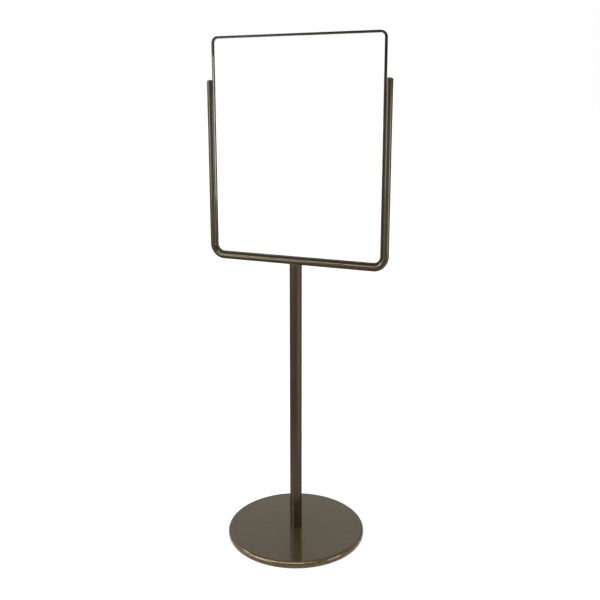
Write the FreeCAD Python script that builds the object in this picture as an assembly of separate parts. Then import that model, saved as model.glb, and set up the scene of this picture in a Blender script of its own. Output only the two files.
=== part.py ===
import FreeCAD, Part
import math
import os

# Pedestal sign stand: a weighted round base, a round post, a U-shaped cradle of grooved round
# tube, and a rounded rectangular insert of square channel that drops into the cradle's groove
# and holds the sign sheet. Millimetres, +Z up, +X along the sign's width. The origin is on the
# floor, at the centre of the base. The sign's front faces -Y.

V = FreeCAD.Vector
UP = V(0, 0, 1)

# --- driving dimensions -----------------------------------------------------------------------
# base
BASE_DIAMETER = 406.4
BASE_HEIGHT = 20.0
COVER_SHEET = 1.5
COVER_TOP_RADIUS = 9.5        # rounding between the cover's top and its side
COVER_CURL_RADIUS = 3.5       # rounding under the side, where the sheet turns in
COVER_BOTTOM = 2.0            # height of the cover's lower edge above the floor
WEIGHT_RADIUS = 198.5
WEIGHT_CLEARANCE = 0.7        # extra chamfer that keeps the weight clear of the cover's shoulder
PAD_RADIUS = 195.0
PAD_THICKNESS = 3.0
RECESS_RADIUS = 31.0          # pocket under the base for the nut and washers
RECESS_TOP = 11.0
SPIGOT_POCKET_DEPTH = 2.5     # how far the foot bush stands in the weight

# post
POST_DIAMETER = 34.9
POST_WALL = 2.0
PLUG_GAP = 0.1                # radial gap of the plugs in the post
FOOT_BUSH_RISE = 20.0         # how far the foot bush stands in the post
FOOT_BUSH_CHAMFER = 1.5

# tie rod, M10
ROD_RADIUS = 4.9
ROD_THREAD_HOLE = 5.0
ROD_CLEARANCE_HOLE = 5.6
ROD_END = 1.2                 # height of the rod's lower end above the floor
ROD_TIP_GAP = 2.0             # thread left above the rod in the head boss
THREAD_CHAMFER = 0.8          # ends of the rod, corners of the nut
NUT_ACROSS_FLATS = 17.0
NUT_HEIGHT = 5.0
LOCK_WASHER_THICKNESS = 2.2
LOCK_WASHER_RADIUS = 8.8
LOCK_WASHER_SPLIT = 1.6
FLAT_WASHER_THICKNESS = 2.0
FLAT_WASHER_RADIUS = 19.0

# sign insert
INSERT_WIDTH = 510.0
INSERT_HEIGHT = 608.0
INSERT_BOTTOM = 842.0
INSERT_SECTION = 6.35         # square channel, outside
INSERT_WALL = 1.0
INSERT_TOP_CORNER = 18.0      # outside radius of the two upper corners
INSERT_EDGE_RADIUS = 0.6
SPLICE_GAP = 0.3              # butt joint in the middle of the bottom rail
SPLICE_LENGTH = 60.0
SPLICE_THICKNESS = 1.0
SPLICE_SIDE_GAP = 0.1         # between the plate and each wall of the channel
SPLICE_SCREW_SPACING = 36.0
SPLICE_SCREW_RADIUS = 1.2
SPLICE_HEAD_RADIUS = 2.0
CHANNEL_SCREW_GAP = 0.1       # radial gap of the screws in the channel
PLATE_SCREW_GAP = 0.05        # and in the plate

# cradle
TUBE_RADIUS = 9.525
TUBE_WALL = 1.5
BEND_RADIUS = 34.0            # to the tube's centre line
ENGAGEMENT = 1.8              # how far the insert sits inside the tube's round outline
SEAT_GAP = 0.3                # between the insert and the groove's floor
SIDE_GAP = 0.35               # between the insert and each side of the groove
ARM_SHARE = 0.808             # top of the arms, as a share of the insert's height
CAP_BAND = 1.0
CAP_DOME = 3.5
CAP_PLUG_LENGTH = 12.0
CAP_PLUG_GAP = 0.12

# head boss, between the post and the cradle
SADDLE_DEPTH = 3.5            # how deep the cradle tube lies in the boss
BOSS_FLANGE = 4.0
BOSS_SPIGOT = 25.0
BOSS_EDGE_RADIUS = 1.2
BOSS_THREAD_DEPTH = 20.0

# how far cutting tools run past what they cut
CUT_PAST = 1.0
# closest match of two places that are the same
SAME_PLACE = 0.01

# --- worked out from them ---------------------------------------------------------------------
BASE_RADIUS = BASE_DIAMETER / 2
POST_RADIUS = POST_DIAMETER / 2
PLUG_RADIUS = POST_RADIUS - POST_WALL - PLUG_GAP
COVER_UNDERSIDE = BASE_HEIGHT - COVER_SHEET
SPIGOT_FLOOR = COVER_UNDERSIDE - SPIGOT_POCKET_DEPTH
WEIGHT_CHAMFER = WEIGHT_RADIUS - (BASE_RADIUS - COVER_TOP_RADIUS) + WEIGHT_CLEARANCE

TUBE_OFFSET = TUBE_RADIUS - ENGAGEMENT                  # tube centre line to insert outline
GROOVE_FLOOR = TUBE_OFFSET - SEAT_GAP                   # measured from the tube's centre line
GROOVE_HALF = INSERT_SECTION / 2 + SIDE_GAP
BORE_RADIUS = TUBE_RADIUS - TUBE_WALL
BORE_FLAT = GROOVE_FLOOR - TUBE_WALL
ARM_X = INSERT_WIDTH / 2 + TUBE_OFFSET
CRADLE_Z = INSERT_BOTTOM - TUBE_OFFSET                  # centre line of the bottom run
ARM_END = INSERT_BOTTOM + ARM_SHARE * INSERT_HEIGHT - CAP_BAND - CAP_DOME
INSERT_BOTTOM_CORNER = BEND_RADIUS - TUBE_OFFSET
SLOT_WIDTH = INSERT_SECTION - 2 * INSERT_WALL           # opening of the channel

BOSS_TOP = CRADLE_Z - TUBE_RADIUS + SADDLE_DEPTH
POST_TOP = BOSS_TOP - BOSS_FLANGE
BOSS_BOTTOM = POST_TOP - BOSS_SPIGOT
THREAD_TOP = BOSS_BOTTOM + BOSS_THREAD_DEPTH
ROD_TOP = THREAD_TOP - ROD_TIP_GAP

# stack under the base, from the recess's ceiling down
FLAT_WASHER_Z = RECESS_TOP - FLAT_WASHER_THICKNESS
LOCK_WASHER_Z = FLAT_WASHER_Z - LOCK_WASHER_THICKNESS
NUT_Z = LOCK_WASHER_Z - NUT_HEIGHT


# --- helpers ----------------------------------------------------------------------------------
def rod(radius, z_low, z_high):
    """Upright cylinder on the stand's axis."""
    return Part.makeCylinder(radius, z_high - z_low, V(0, 0, z_low))


def line(a, b):
    return Part.LineSegment(a, b).toShape()


def arc(a, mid, b):
    return Part.Arc(a, mid, b).toShape()


def turned(edges):
    """Solid of revolution about Z of a closed outline in the XZ plane."""
    return Part.Face(Part.Wire(edges)).revolve(V(0, 0, 0), UP, 360)


def edges_at(shape, z):
    """Edges of the shape that lie flat at a height."""
    return [edge for edge in shape.Edges if abs(edge.BoundBox.ZMin - z) < SAME_PLACE
            and edge.BoundBox.ZLength < SAME_PLACE]


def mirrored(shape):
    """The same shape on the other side of the YZ plane."""
    return shape.mirror(V(0, 0, 0), V(1, 0, 0))


def rounded_frame_face(inset):
    """Face bounded by the insert's outline moved inwards by inset, in the XZ plane."""
    half = INSERT_WIDTH / 2 - inset
    low = INSERT_BOTTOM + inset
    high = INSERT_BOTTOM + INSERT_HEIGHT - inset
    corners = [(half, low, INSERT_BOTTOM_CORNER - inset, -45), (half, high, INSERT_TOP_CORNER - inset, 45),
               (-half, high, INSERT_TOP_CORNER - inset, 135), (-half, low, INSERT_BOTTOM_CORNER - inset, 225)]
    arcs = []
    for x, z, radius, middle in corners:
        cx = x - math.copysign(radius, x)
        cz = z + radius if z == low else z - radius
        points = [V(cx + radius * math.cos(math.radians(a)), 0, cz + radius * math.sin(math.radians(a)))
                  for a in (middle - 45, middle, middle + 45)]
        arcs.append(points)
    edges = []
    for index, (start, mid, end) in enumerate(arcs):
        edges.append(arc(start, mid, end))
        edges.append(line(end, arcs[(index + 1) % 4][0]))
    return Part.Face(Part.Wire(edges))


def frame_ring(inset_outer, inset_inner, width):
    """Closed ring between two insets of the insert's outline, centred on the XZ plane."""
    ring = rounded_frame_face(inset_outer).cut(rounded_frame_face(inset_inner))
    ring.translate(V(0, -width / 2, 0))
    return ring.extrude(V(0, width, 0))


def round_with_flat(radius, flat):
    """Edges of a circle cut off by a flat at a distance along +X from its centre, in the XY plane."""
    half = math.sqrt(radius ** 2 - flat ** 2)
    left, right = V(flat, half, 0), V(flat, -half, 0)
    return [arc(left, V(-radius, 0, 0), right), line(right, left)]


def cradle_section():
    """Section of the grooved tube in the XY plane, groove towards +X, centred on the origin."""
    lip = math.sqrt(TUBE_RADIUS ** 2 - GROOVE_HALF ** 2)
    outside = [
        arc(V(lip, GROOVE_HALF, 0), V(-TUBE_RADIUS, 0, 0), V(lip, -GROOVE_HALF, 0)),
        line(V(lip, -GROOVE_HALF, 0), V(GROOVE_FLOOR, -GROOVE_HALF, 0)),
        line(V(GROOVE_FLOOR, -GROOVE_HALF, 0), V(GROOVE_FLOOR, GROOVE_HALF, 0)),
        line(V(GROOVE_FLOOR, GROOVE_HALF, 0), V(lip, GROOVE_HALF, 0)),
    ]
    bore = Part.Face(Part.Wire(round_with_flat(BORE_RADIUS, BORE_FLAT)))
    return Part.Face(Part.Wire(outside)).cut(bore)


# --- base -------------------------------------------------------------------------------------
def base_cover():
    """Spun sheet cover: flat top, rounded shoulder, short side and an edge curled inwards."""
    shoulder = BASE_RADIUS - COVER_TOP_RADIUS
    shoulder_z = BASE_HEIGHT - COVER_TOP_RADIUS
    curl = BASE_RADIUS - COVER_CURL_RADIUS
    curl_z = COVER_BOTTOM + COVER_CURL_RADIUS
    half_turn = math.sqrt(0.5)

    def outline(offset):
        """Points of the outer (0) or inner (sheet thickness) outline, from the top centre down."""
        top = COVER_TOP_RADIUS - offset
        low = COVER_CURL_RADIUS - offset
        return [
            V(PLUG_RADIUS + PLUG_GAP, 0, BASE_HEIGHT - offset), V(shoulder, 0, BASE_HEIGHT - offset),
            V(shoulder + top * half_turn, 0, shoulder_z + top * half_turn),
            V(BASE_RADIUS - offset, 0, shoulder_z), V(BASE_RADIUS - offset, 0, curl_z),
            V(curl + low * half_turn, 0, curl_z - low * half_turn), V(curl, 0, COVER_BOTTOM + offset),
        ]

    outer, inner = outline(0), outline(COVER_SHEET)
    return turned([
        line(*outer[0:2]), arc(*outer[1:4]), line(*outer[3:5]), arc(*outer[4:7]),
        line(outer[6], inner[6]),
        arc(*inner[6:3:-1]), line(*inner[4:2:-1]), arc(*inner[3:0:-1]), line(*inner[1::-1]),
        line(inner[0], outer[0]),
    ])


def base_weight():
    """Cast disc that fills the cover, with a pocket above for the foot bush and one below."""
    disc = rod(WEIGHT_RADIUS, PAD_THICKNESS, COVER_UNDERSIDE)
    disc = disc.makeChamfer(WEIGHT_CHAMFER, edges_at(disc, COVER_UNDERSIDE))
    disc = disc.cut(rod(PLUG_RADIUS + PLUG_GAP, SPIGOT_FLOOR, COVER_UNDERSIDE + CUT_PAST))
    disc = disc.cut(rod(RECESS_RADIUS, 0, RECESS_TOP))
    return disc.cut(rod(ROD_CLEARANCE_HOLE, 0, BASE_HEIGHT))


def floor_pad():
    """Rubber disc under the weight, open in the middle for the nut."""
    return rod(PAD_RADIUS, 0, PAD_THICKNESS).cut(rod(RECESS_RADIUS, -CUT_PAST, PAD_THICKNESS + CUT_PAST))


# --- post and the tie rod through it ----------------------------------------------------------
def foot_bush():
    """Bush that centres the post on the base."""
    top = BASE_HEIGHT + FOOT_BUSH_RISE
    bush = rod(PLUG_RADIUS, SPIGOT_FLOOR, top)
    bush = bush.makeChamfer(FOOT_BUSH_CHAMFER, edges_at(bush, top))
    return bush.cut(rod(ROD_CLEARANCE_HOLE, 0, top + CUT_PAST))


def post_tube():
    inner = rod(POST_RADIUS - POST_WALL, BASE_HEIGHT - CUT_PAST, POST_TOP + CUT_PAST)
    return rod(POST_RADIUS, BASE_HEIGHT, POST_TOP).cut(inner)


def tie_rod():
    """Threaded rod that clamps the base, the post and the head boss together."""
    bar = rod(ROD_RADIUS, ROD_END, ROD_TOP)
    return bar.makeChamfer(THREAD_CHAMFER, edges_at(bar, ROD_END) + edges_at(bar, ROD_TOP))


def tie_rod_nut():
    """Thin hexagon nut with its corners turned off on both sides."""
    corner = NUT_ACROSS_FLATS / 2 / math.cos(math.radians(30))
    points = [V(corner * math.cos(math.radians(a)), corner * math.sin(math.radians(a)), NUT_Z)
              for a in range(0, 361, 60)]
    hexagon = Part.Face(Part.makePolygon(points)).extrude(V(0, 0, NUT_HEIGHT))
    blank = rod(corner, NUT_Z, LOCK_WASHER_Z)
    blank = blank.makeChamfer(THREAD_CHAMFER, edges_at(blank, NUT_Z) + edges_at(blank, LOCK_WASHER_Z))
    return hexagon.common(blank).cut(rod(ROD_THREAD_HOLE, 0, RECESS_TOP))


def lock_washer():
    """Split ring."""
    ring = rod(LOCK_WASHER_RADIUS, LOCK_WASHER_Z, FLAT_WASHER_Z).cut(rod(ROD_CLEARANCE_HOLE, 0, RECESS_TOP))
    half = LOCK_WASHER_SPLIT / 2
    return ring.cut(Part.makeBox(2 * LOCK_WASHER_RADIUS, 2 * half, RECESS_TOP, V(0, -half, 0)))


def flat_washer():
    return rod(FLAT_WASHER_RADIUS, FLAT_WASHER_Z, RECESS_TOP).cut(rod(ROD_CLEARANCE_HOLE, 0, BASE_HEIGHT))


# --- head boss and cradle ---------------------------------------------------------------------
def head_boss():
    """Plug in the post's top, with a flange and a saddle that carries the cradle tube."""
    flange = rod(POST_RADIUS, POST_TOP, BOSS_TOP)
    flange = flange.makeFillet(BOSS_EDGE_RADIUS, edges_at(flange, BOSS_TOP))
    boss = flange.fuse(rod(PLUG_RADIUS, BOSS_BOTTOM, POST_TOP)).removeSplitter()
    saddle = Part.makeCylinder(TUBE_RADIUS, 4 * POST_RADIUS, V(-2 * POST_RADIUS, 0, CRADLE_Z), V(1, 0, 0))
    thread = rod(ROD_THREAD_HOLE, BOSS_BOTTOM - CUT_PAST, THREAD_TOP)
    return boss.cut(saddle).cut(thread)


def cradle_tube():
    """Grooved round tube bent into a U, open at the top of both arms."""
    bend_z = CRADLE_Z + BEND_RADIUS
    section = cradle_section()
    section.translate(V(-ARM_X, 0, bend_z))
    arm = section.extrude(V(0, 0, ARM_END - bend_z))
    bend = section.revolve(V(-ARM_X + BEND_RADIUS, 0, bend_z), V(0, 1, 0), -90)
    floor_section = cradle_section()
    floor_section.rotate(V(0, 0, 0), V(0, 1, 0), -90)
    floor_section.translate(V(-ARM_X + BEND_RADIUS, 0, CRADLE_Z))
    floor_run = floor_section.extrude(V(2 * (ARM_X - BEND_RADIUS), 0, 0))
    return floor_run.multiFuse([arm, bend, mirrored(arm), mirrored(bend)]).removeSplitter()


def arm_cap(side):
    """Domed end cap for the left (-1) or right (+1) arm, with the groove carried through it."""
    dome_z = ARM_END + CAP_BAND
    sphere = (TUBE_RADIUS ** 2 + CAP_DOME ** 2) / (2 * CAP_DOME)
    centre_z = dome_z + CAP_DOME - sphere
    half_angle = math.asin(TUBE_RADIUS / sphere) / 2
    shoulder = V(sphere * math.sin(half_angle), 0, centre_z + sphere * math.cos(half_angle))
    crown = V(0, 0, dome_z + CAP_DOME)
    centre, rim, band_top = V(0, 0, ARM_END), V(TUBE_RADIUS, 0, ARM_END), V(TUBE_RADIUS, 0, dome_z)
    head = turned([line(centre, rim), line(rim, band_top), arc(band_top, shoulder, crown),
                   line(crown, centre)])
    groove = Part.makeBox(TUBE_RADIUS, 2 * GROOVE_HALF, 2 * TUBE_RADIUS,
                          V(GROOVE_FLOOR, -GROOVE_HALF, ARM_END))
    plug = Part.Face(Part.Wire(round_with_flat(BORE_RADIUS - CAP_PLUG_GAP, BORE_FLAT - CAP_PLUG_GAP)))
    plug.translate(V(0, 0, ARM_END - CAP_PLUG_LENGTH))
    cap = head.cut(groove).fuse(plug.extrude(V(0, 0, CAP_PLUG_LENGTH))).removeSplitter()
    cap.translate(V(-ARM_X, 0, 0))
    return cap if side < 0 else mirrored(cap)


# --- sign insert ------------------------------------------------------------------------------
def insert_channel():
    """Square channel bent into a rounded rectangle, open side inwards, butted at the bottom."""
    frame = frame_ring(0, INSERT_SECTION, INSERT_SECTION)
    flat_edges = [edge for edge in frame.Edges if edge.BoundBox.YLength < SAME_PLACE]
    frame = frame.makeFillet(INSERT_EDGE_RADIUS, flat_edges)
    frame = frame.cut(frame_ring(INSERT_WALL, INSERT_SECTION + CUT_PAST, SLOT_WIDTH))
    butt = Part.makeBox(SPLICE_GAP, 2 * INSERT_SECTION, 2 * INSERT_SECTION,
                        V(-SPLICE_GAP / 2, -INSERT_SECTION, INSERT_BOTTOM - INSERT_SECTION / 2))
    frame = frame.cut(butt)
    for screw in splice_screw_blanks(CHANNEL_SCREW_GAP):
        frame = frame.cut(screw)
    return frame


def splice_screw_blanks(gap):
    """The two countersunk screws of the butt joint, grown by a gap to make their holes."""
    tip = INSERT_BOTTOM + INSERT_WALL + SPLICE_THICKNESS
    blanks = []
    for x in (-SPLICE_SCREW_SPACING / 2, SPLICE_SCREW_SPACING / 2):
        foot = V(x, 0, INSERT_BOTTOM)
        head_depth = SPLICE_HEAD_RADIUS - SPLICE_SCREW_RADIUS
        head = Part.makeCone(SPLICE_HEAD_RADIUS + gap, SPLICE_SCREW_RADIUS + gap, head_depth, foot)
        shank = Part.makeCylinder(SPLICE_SCREW_RADIUS + gap, tip - INSERT_BOTTOM, foot)
        blanks.append(head.fuse(shank).removeSplitter())
    return blanks


def splice_plate():
    """Thin plate inside the channel that bridges the butt joint."""
    width = SLOT_WIDTH - 2 * SPLICE_SIDE_GAP
    plate = Part.makeBox(SPLICE_LENGTH, width, SPLICE_THICKNESS,
                         V(-SPLICE_LENGTH / 2, -width / 2, INSERT_BOTTOM + INSERT_WALL))
    for screw in splice_screw_blanks(PLATE_SCREW_GAP):
        plate = plate.cut(screw)
    return plate


def splice_screws():
    return Part.makeCompound(splice_screw_blanks(0))


PARTS = {
    "base_cover": base_cover,
    "base_weight": base_weight,
    "floor_pad": floor_pad,
    "foot_bush": foot_bush,
    "post_tube": post_tube,
    "tie_rod": tie_rod,
    "tie_rod_nut": tie_rod_nut,
    "lock_washer": lock_washer,
    "flat_washer": flat_washer,
    "head_boss": head_boss,
    "cradle_tube": cradle_tube,
    "arm_cap_left": lambda: arm_cap(-1),
    "arm_cap_right": lambda: arm_cap(1),
    "insert_channel": insert_channel,
    "splice_plate": splice_plate,
    "splice_screws": splice_screws,
}

os.makedirs("parts", exist_ok=True)
for node, make in PARTS.items():
    shape = make()
    box = shape.BoundBox
    print(f"{node}: {len(shape.Solids)} solid, valid {shape.isValid()}, volume {shape.Volume:.0f} mm3, "
          f"z {box.ZMin:.1f} to {box.ZMax:.1f}, x {box.XMin:.1f} to {box.XMax:.1f}")
    shape.exportStep(f"parts/{node}.step")
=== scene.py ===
import math

import bmesh
import bpy
from mathutils import Matrix, Vector


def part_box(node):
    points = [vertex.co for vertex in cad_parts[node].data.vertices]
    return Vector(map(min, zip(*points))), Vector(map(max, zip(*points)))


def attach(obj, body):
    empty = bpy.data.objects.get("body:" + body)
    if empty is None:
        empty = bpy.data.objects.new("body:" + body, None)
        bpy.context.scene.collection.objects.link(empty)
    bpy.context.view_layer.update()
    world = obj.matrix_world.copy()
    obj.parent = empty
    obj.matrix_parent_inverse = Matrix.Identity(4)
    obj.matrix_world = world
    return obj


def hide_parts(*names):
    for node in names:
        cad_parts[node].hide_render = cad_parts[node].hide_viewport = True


# Pedestal sign stand in bronze lacquer: a spun base cover over a cast weight, a round post held by a
# tie rod, a grooved U-shaped cradle and a channel insert that lifts out of it. Metres, +Z up, the
# origin on the floor under the post; the sign's front faces -Y.

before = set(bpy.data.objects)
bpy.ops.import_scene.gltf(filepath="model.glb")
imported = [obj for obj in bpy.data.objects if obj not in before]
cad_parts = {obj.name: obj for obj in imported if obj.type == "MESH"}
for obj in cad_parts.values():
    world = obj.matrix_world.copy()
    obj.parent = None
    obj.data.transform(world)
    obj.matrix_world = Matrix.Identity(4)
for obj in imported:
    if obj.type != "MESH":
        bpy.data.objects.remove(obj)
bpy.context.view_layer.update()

MM = 0.001

# --- places and sizes read from the frame -------------------------------------------------------
COVER_LOW, COVER_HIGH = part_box("base_cover")
WEIGHT_LOW, WEIGHT_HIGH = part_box("base_weight")
PAD_LOW, PAD_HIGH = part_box("floor_pad")
BUSH_LOW, BUSH_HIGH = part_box("foot_bush")
POST_LOW, POST_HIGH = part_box("post_tube")
ROD_LOW, ROD_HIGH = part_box("tie_rod")
NUT_LOW, NUT_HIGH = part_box("tie_rod_nut")
SPRING_LOW, SPRING_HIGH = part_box("lock_washer")
WASHER_LOW, WASHER_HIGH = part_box("flat_washer")
BOSS_LOW, BOSS_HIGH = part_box("head_boss")
CRADLE_LOW, CRADLE_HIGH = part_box("cradle_tube")
CAP_LOW, CAP_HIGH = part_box("arm_cap_right")
INSERT_LOW, INSERT_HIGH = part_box("insert_channel")
PLATE_LOW, PLATE_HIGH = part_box("splice_plate")
_, SCREWS_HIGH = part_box("splice_screws")

TUBE_RADIUS = CRADLE_HIGH.y
ARM_X = CRADLE_HIGH.x - TUBE_RADIUS
CRADLE_Z = CRADLE_LOW.z + TUBE_RADIUS
INSERT_SECTION = INSERT_HIGH.y - INSERT_LOW.y

# --- sizes that a box doesn't give --------------------------------------------------------------
COVER_SHEET = 1.5 * MM
COVER_SHOULDER = 9.5 * MM         # rounding from the cover's top to its side
COVER_CURL = 3.5 * MM             # rounding under the side
COVER_HEM = 3.5 * MM              # how far the lower edge turns in
WEIGHT_CHAMFER = 5.5 * MM
WEIGHT_CAST_ROUND = 1.5 * MM
RECESS_RADIUS = 31.0 * MM
RECESS_TOP = 11.0 * MM
BOLT_HOLE = 5.6 * MM
BUSH_POCKET = 2.5 * MM
BUSH_CHAMFER = 1.5 * MM
PAD_RIBS = 14
PAD_RIB_GROOVE = 2.2 * MM
PAD_RIB_DEPTH = 0.8 * MM
POST_WALL = 2.0 * MM
PLUG_GAP = 0.1 * MM
THREAD_PITCH = 1.5 * MM
THREAD_DEPTH = 0.75 * MM
THREAD_LENGTH = 24.0 * MM         # at each end of the tie rod
THREAD_ROWS = 8                   # rows of vertices in one turn of the thread
ROD_TIP_TAPER = 0.8               # how much the crest drops per length of the rod's tip
NUT_CHAMFER = 0.9 * MM
SPRING_SPLIT = 1.6 * MM
THREAD_HOLE = 5.0 * MM
THREAD_HOLE_DEPTH = 20.0 * MM
SADDLE_DEPTH = 3.5 * MM
BEAD_HALF_LENGTH = 13.0 * MM
BEAD_RADIUS = 1.3 * MM
BEAD_RIPPLES = 12
BEAD_RIPPLE_SHARE = 0.07          # of its radius
BEND_RADIUS = 34.0 * MM
TUBE_WALL = 1.5 * MM
SEAT_GAP = 0.3 * MM
SIDE_GAP = 0.35 * MM
CAP_BAND = 1.0 * MM
CAP_PLUG_GAP = 0.12 * MM
INSERT_WALL = 1.0 * MM
INSERT_EDGE = 0.6 * MM
INSERT_INNER_EDGE = 0.2 * MM
INSERT_TOP_CORNER = 18.0 * MM
SPLICE_GAP = 0.3 * MM
SCREW_HEAD = 2.0 * MM
SCREW_SHANK = 1.2 * MM
SCREW_HOLE_GAP = 0.1 * MM
CROSS_REACH = 1.1 * MM            # recess in a screw's head
CROSS_HALF = 0.28 * MM
CROSS_DEPTH = 0.7 * MM
CUT_PAST = 1.0 * MM               # how far a cutter runs past the face it opens

TUBE_OFFSET = ARM_X - INSERT_HIGH.x                     # tube centre line to the insert's outline
GROOVE_FLOOR = TUBE_OFFSET - SEAT_GAP
GROOVE_HALF = INSERT_SECTION / 2 + SIDE_GAP
GROOVE_LIP = math.sqrt(TUBE_RADIUS ** 2 - GROOVE_HALF ** 2)
PLUG_RADIUS = GROOVE_FLOOR - TUBE_WALL - CAP_PLUG_GAP
COVER_HOLE = BUSH_HIGH.x + PLUG_GAP
SCREW_X = SCREWS_HIGH.x - SCREW_HEAD

# small roundings of real edges
FINE_EDGE = 0.3 * MM
SOFT_EDGE = 0.6 * MM
SADDLE_EDGE = 1.2 * MM
LIP_EDGE = 0.4 * MM
STAMPED_EDGE = 0.15 * MM
PLATE_EDGE = 0.12 * MM
SCREW_EDGE = 0.05 * MM

# where painted shade and rubbing show
CREASE_PAINTED_SHADE = 0.5 * MM            # painted shade in the crease beside the insert, on it and on the tube
UNSHADED_MOUTH = 0.22 * MM           # of the channel, from its edge inwards, kept free of painted shade
WEAR_SUPPORT = 1.3                # how far past a rounding its rubbing ends, in roundings

# mesh density
TURN_SEGMENTS = 192
SMALL_SEGMENTS = 64
SCREW_SEGMENTS = 32
BEAD_SEGMENTS = 24
BEAD_STEPS = 96
GROOVED_STEPS = 84
BORE_STEPS = 40
DOME_STEPS = 12
ROUTE_STEP = 60 * MM
SHARP_ANGLE = math.radians(38)


# --- outlines and routes ------------------------------------------------------------------------
def rounded(corners, steps=6):
    """Points (x, y, wear) of an outline with corners (x, y, radius); wear is 1 on its roundings."""
    points = []
    for index, (x, y, radius) in enumerate(corners):
        here = Vector((x, y))
        if radius == 0:
            points.append((x, y, 0.0))
            continue
        back = Vector(corners[index - 1][:2]) - here
        ahead = Vector(corners[(index + 1) % len(corners)][:2]) - here
        half = back.angle(ahead) / 2
        reach = radius / math.tan(half)
        centre = here + (back.normalized() + ahead.normalized()).normalized() * radius / math.sin(half)
        start = here + back.normalized() * reach - centre
        end = here + ahead.normalized() * reach - centre
        turn = math.atan2(start.cross(end), start.dot(end))
        first = math.atan2(start.y, start.x)
        support = WEAR_SUPPORT * reach
        if back.length > 3 * support:
            points.append((*(here + back.normalized() * support), 0.0))
        for step in range(steps + 1):
            angle = first + turn * step / steps
            points.append((centre.x + radius * math.cos(angle), centre.y + radius * math.sin(angle), 1.0))
        if ahead.length > 3 * support:
            points.append((*(here + ahead.normalized() * support), 0.0))
    return points


def route(corners, steps=20):
    """Points along an open XZ route of (x, z, radius) corners, with its straight runs divided."""
    points = [Vector((x, z)) for x, z, _ in rounded(corners, steps)]
    divided = []
    for start, end in zip(points, points[1:]):
        pieces = max(1, round((end - start).length / ROUTE_STEP))
        divided += [start.lerp(end, piece / pieces) for piece in range(pieces)]
    return divided + points[-1:]


def route_frames(points):
    """(place, inward) of each point of an open route: inward is to the left of the travel, mitred."""
    lefts = []
    for start, end in zip(points, points[1:]):
        along = (end - start).normalized()
        lefts.append(Vector((-along.y, along.x)))
    frames = []
    for point, before, after in zip(points, lefts[:1] + lefts, lefts + lefts[-1:]):
        middle = (before + after).normalized()
        inward = middle / middle.dot(before)
        frames.append((Vector((point.x, 0, point.y)), Vector((inward.x, 0, inward.y))))
    return frames


# --- meshes -------------------------------------------------------------------------------------
def new_mesh():
    mesh = bmesh.new()
    # per-vertex mark: above 0 for rubbed roundings, below 0 for painted shade in grooves and creases
    mesh.verts.layers.float.new("wear_and_shade")
    return mesh


def add_ring(mesh, places):
    """Vertices at (place, wear)."""
    wear_and_shade = mesh.verts.layers.float["wear_and_shade"]
    ring = []
    for place, amount in places:
        vertex = mesh.verts.new(place)
        vertex[wear_and_shade] = amount
        ring.append(vertex)
    return ring


def bridge(mesh, ring, next_ring):
    """Faces between two closed rings."""
    for index in range(len(ring)):
        other = (index + 1) % len(ring)
        mesh.faces.new((ring[index], ring[other], next_ring[other], next_ring[index]))


def lathe(outline, segments=TURN_SEGMENTS, gap=0.0):
    """Closed (radius, height, wear) outline turned about Z, with an angle left open at +X."""
    mesh = new_mesh()
    steps = segments if gap == 0 else segments + 1
    rings = []
    for step in range(steps):
        angle = gap / 2 + (2 * math.pi - gap) * step / segments
        turn = Vector((math.cos(angle), math.sin(angle), 0))
        rings.append(add_ring(mesh, [(turn * r + Vector((0, 0, z)), wear_and_shade) for r, z, wear_and_shade in outline]))
    for ring, next_ring in zip(rings, rings[1:] + rings[:1] if gap == 0 else rings[1:]):
        bridge(mesh, ring, next_ring)
    if gap:
        mesh.faces.new(rings[0])
        mesh.faces.new(rings[-1])
    return cleaned(mesh)


def cleaned(mesh):
    """Merges what meets on the axis, and drops the loose edges that leaves."""
    bmesh.ops.remove_doubles(mesh, verts=mesh.verts, dist=1e-7)
    bmesh.ops.delete(mesh, geom=[e for e in mesh.edges if not e.link_faces], context="EDGES")
    bmesh.ops.delete(mesh, geom=[v for v in mesh.verts if not v.link_edges], context="VERTS")
    return mesh


def sweep(loops, frames):
    """Closed (inward, y, wear) loops carried along an open route; the first is the outside."""
    mesh = new_mesh()
    end_edges = []
    for loop in loops:
        rings = [add_ring(mesh, [(place + inward * u + Vector((0, v, 0)), wear_and_shade) for u, v, wear_and_shade in loop])
                 for place, inward in frames]
        for ring, next_ring in zip(rings, rings[1:]):
            bridge(mesh, ring, next_ring)
        for ring in (rings[0], rings[-1]):
            end_edges.append([mesh.edges.get(pair) for pair in zip(ring, ring[1:] + ring[:1])])
    for end in (0, 1):
        edges = [edge for group in end_edges[end::2] for edge in group]
        bmesh.ops.triangle_fill(mesh, use_beauty=True, use_dissolve=False, edges=edges)
    return mesh


def prism(outline, low, high):
    """Closed (x, y, wear) outline raised from low to high."""
    mesh = new_mesh()
    rings = [add_ring(mesh, [(Vector((x, y, z)), wear_and_shade) for x, y, wear_and_shade in outline]) for z in (low, high)]
    bridge(mesh, *rings)
    for ring in rings:
        mesh.faces.new(ring)
    return mesh


def placed(mesh, matrix):
    bmesh.ops.transform(mesh, matrix=matrix, verts=mesh.verts)
    return mesh


def temporary(mesh):
    bmesh.ops.recalc_face_normals(mesh, faces=mesh.faces)
    data = bpy.data.meshes.new("temporary")
    mesh.to_mesh(data)
    mesh.free()
    piece = bpy.data.objects.new("temporary", data)
    bpy.context.scene.collection.objects.link(piece)
    return piece


def combined(mesh, other, operation):
    """The mesh after a boolean with another; both are used up."""
    target, tool = temporary(mesh), temporary(other)
    modifier = target.modifiers.new("combine", "BOOLEAN")
    modifier.object = tool
    modifier.operation = operation
    modifier.solver = "EXACT"
    evaluated = target.evaluated_get(bpy.context.evaluated_depsgraph_get())
    result = bmesh.new()
    result.from_mesh(evaluated.to_mesh())
    evaluated.to_mesh_clear()
    for piece in (target, tool):
        data = piece.data
        bpy.data.objects.remove(piece)
        bpy.data.meshes.remove(data)
    return result


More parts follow.
